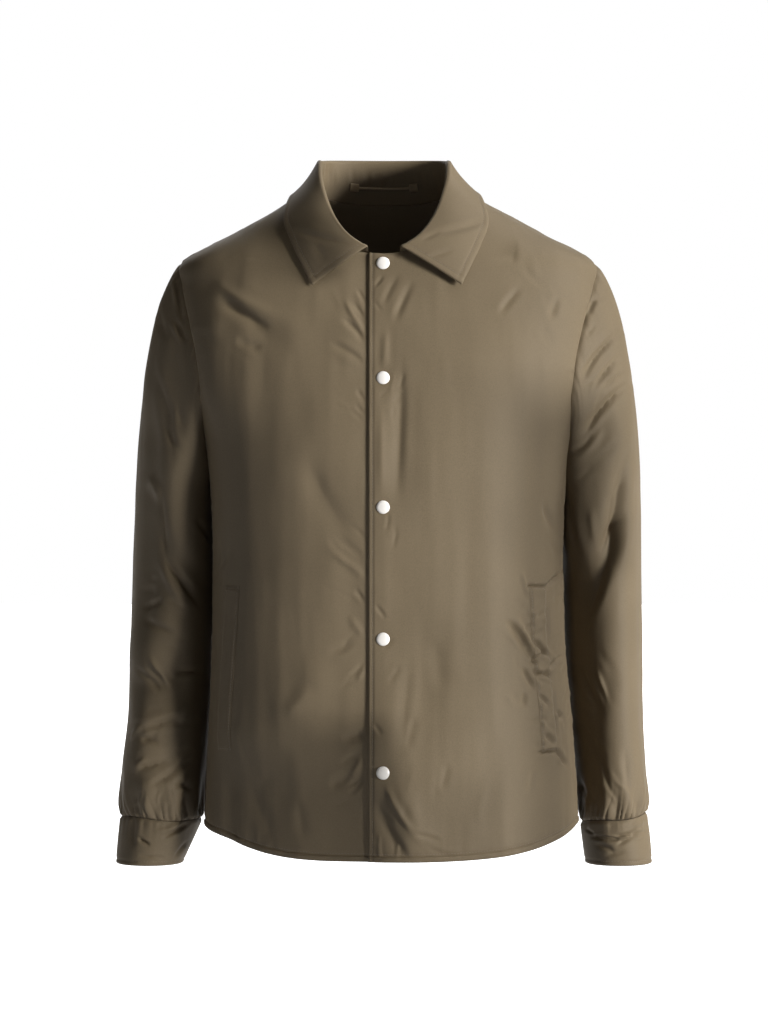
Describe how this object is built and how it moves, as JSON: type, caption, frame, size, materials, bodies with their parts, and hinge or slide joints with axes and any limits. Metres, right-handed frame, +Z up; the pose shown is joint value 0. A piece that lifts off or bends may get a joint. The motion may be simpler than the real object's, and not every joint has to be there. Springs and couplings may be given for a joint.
{
  "type": "snap-button jacket",
  "caption": "Loose hip-length snap-button jacket with a point collar, slanting pocket welts, gathered sleeves on band cuffs and a curved hem, hollow as when worn.",
  "frame": {"origin": "midway between the two points where the shoulder seams meet the neckline, where a wearer's shoulders carry the jacket", "axes": "+Z up along the body, +X towards the wearer's left, the front faces -Y"},
  "size_m": [0.582, 0.265, 0.7671],
  "materials": {
    "shell_cloth": "plain-woven matt nylon with a faint sheen, olive brown",
    "snap_metal": "pale satin enamel on a pressed metal cap"
  },
  "bodies": {
    "root": {"back": "shell_cloth", "front_left": "shell_cloth", "front_left_chest": "shell_cloth", "front_right": "shell_cloth", "front_right_chest": "shell_cloth", "sleeve_left": "shell_cloth", "sleeve_right": "shell_cloth", "cuff_left": "shell_cloth", "cuff_right": "shell_cloth", "collar": "shell_cloth", "pocket_welt_left": "shell_cloth", "pocket_welt_right": "shell_cloth", "hem_binding_back": "shell_cloth", "hem_binding_front_left": "shell_cloth", "hem_binding_front_right": "shell_cloth", "hanger_loop": "shell_cloth", "snap_1": "snap_metal", "snap_2": "snap_metal", "snap_3": "snap_metal", "snap_4": "snap_metal", "snap_5": "snap_metal"}
  },
  "joints": []
}
